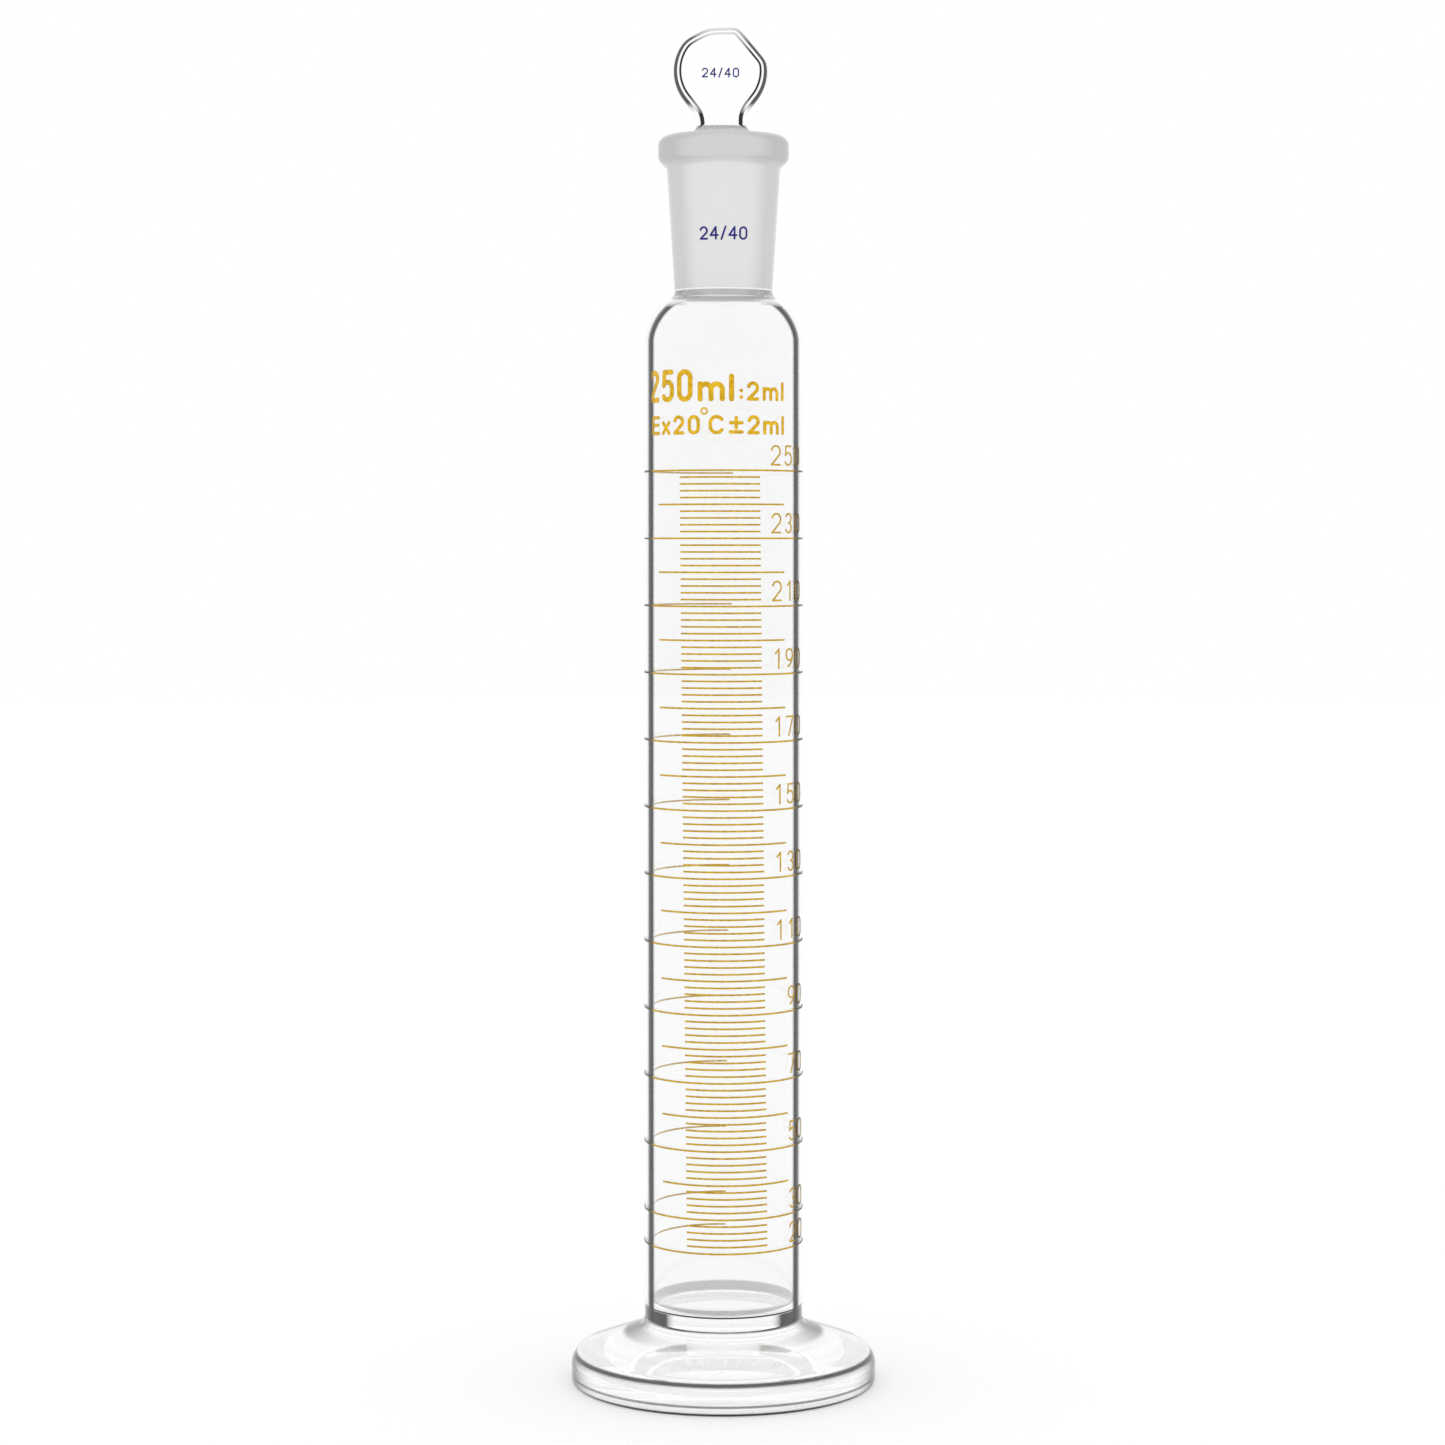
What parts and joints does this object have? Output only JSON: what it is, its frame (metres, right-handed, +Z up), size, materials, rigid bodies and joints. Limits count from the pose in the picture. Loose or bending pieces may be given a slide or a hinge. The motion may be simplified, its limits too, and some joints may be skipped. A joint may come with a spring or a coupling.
{
  "type": "stoppered measuring cylinder",
  "caption": "Clear glass graduated measuring cylinder on a round foot, with a ground conical neck closed by a flat-headed ground glass stopper.",
  "frame": {"origin": "on the bench, under the middle of the foot", "axes": "+Z up along the cylinder's axis; the printed front faces -Y; the numbers are to the right of it, towards +X"},
  "size_m": [0.08, 0.08, 0.357],
  "materials": {
    "clear_glass": "polished",
    "ground_glass": "satin",
    "amber_enamel": "satin",
    "gold_enamel": "satin",
    "blue_enamel": "satin"
  },
  "bodies": {
    "cylinder": {"foot": "clear_glass", "measuring_tube": "clear_glass", "socket_joint": "ground_glass", "ring_20": "amber_enamel", "ring_30": "amber_enamel", "ring_50": "amber_enamel", "ring_70": "amber_enamel", "ring_90": "amber_enamel", "ring_110": "amber_enamel", "ring_130": "amber_enamel", "ring_150": "amber_enamel", "ring_170": "amber_enamel", "ring_190": "amber_enamel", "ring_210": "amber_enamel", "ring_230": "amber_enamel", "ring_250": "amber_enamel", "numeral_20": "amber_enamel", "numeral_30": "amber_enamel", "numeral_50": "amber_enamel", "numeral_70": "amber_enamel", "numeral_90": "amber_enamel", "numeral_110": "amber_enamel", "numeral_130": "amber_enamel", "numeral_150": "amber_enamel", "numeral_170": "amber_enamel", "numeral_190": "amber_enamel", "numeral_210": "amber_enamel", "numeral_230": "amber_enamel", "numeral_250": "amber_enamel", "marks_10ml": "amber_enamel", "marks_2ml": "amber_enamel", "capacity_legend": "gold_enamel", "tolerance_legend": "gold_enamel", "joint_size_mark": "blue_enamel"},
    "stopper_lift": {"stopper_plug": "ground_glass"},
    "stopper_twist": {"stopper_head": "clear_glass", "stopper_size_mark": "blue_enamel"}
  },
  "joints": [
    {"name": "lift", "type": "slide", "parent": "cylinder", "child": "stopper_lift", "axis": [0, 0, 1], "range_m": [0, 0.045]},
    {"name": "twist", "type": "hinge", "parent": "stopper_lift", "child": "stopper_twist", "pos_m": [0, 0, 0.33], "axis": [0, 0, 1], "continuous": true}
  ]
}
